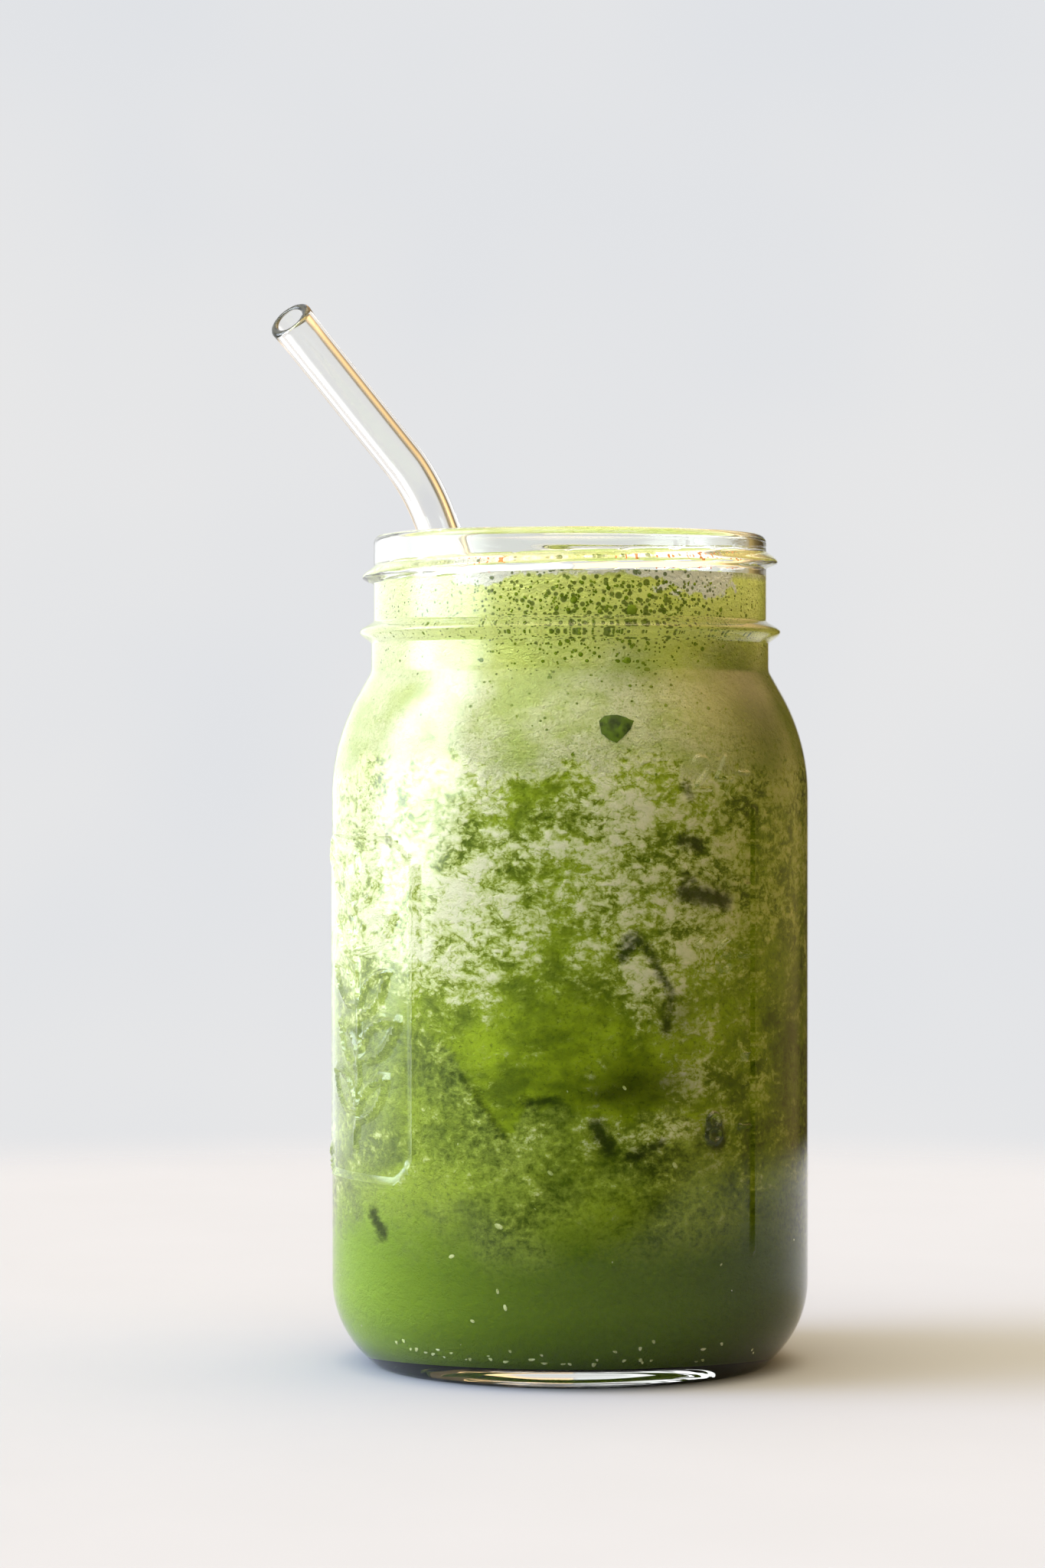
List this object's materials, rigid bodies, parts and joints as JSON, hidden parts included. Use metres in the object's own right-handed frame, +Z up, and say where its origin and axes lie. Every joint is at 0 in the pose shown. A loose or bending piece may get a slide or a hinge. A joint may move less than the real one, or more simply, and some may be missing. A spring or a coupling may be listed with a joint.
{
  "type": "green juice in a glass jar",
  "caption": "Frothy green juice in a clear wide-mouth screw-top glass jar, with a bent glass straw leaning on the rim.",
  "frame": {"origin": "on the surface that the jar stands on, under the middle of the bounding box of jar and straw; the jar's axis is upright at x = 0.00598, y = 0", "axes": "+Z up along the jar's axis; the view of the picture looks along +Y, and the straw's tip leans out towards -X and -Y"},
  "size_m": [0.1094, 0.0974, 0.2159],
  "materials": {
    "jar_glass": "clear, glossy, faintly green where it is thick",
    "straw_glass": "clear, glossy",
    "froth": "pale green foam with small bubbles",
    "pulpy_juice": "marbled pale and deep green, with fine pulp",
    "settled_juice": "smooth deep green liquid"
  },
  "bodies": {
    "root": {"jar": "jar_glass", "straw": "straw_glass", "froth": "froth", "pulpy_juice": "pulpy_juice", "settled_juice": "settled_juice"}
  },
  "joints": []
}
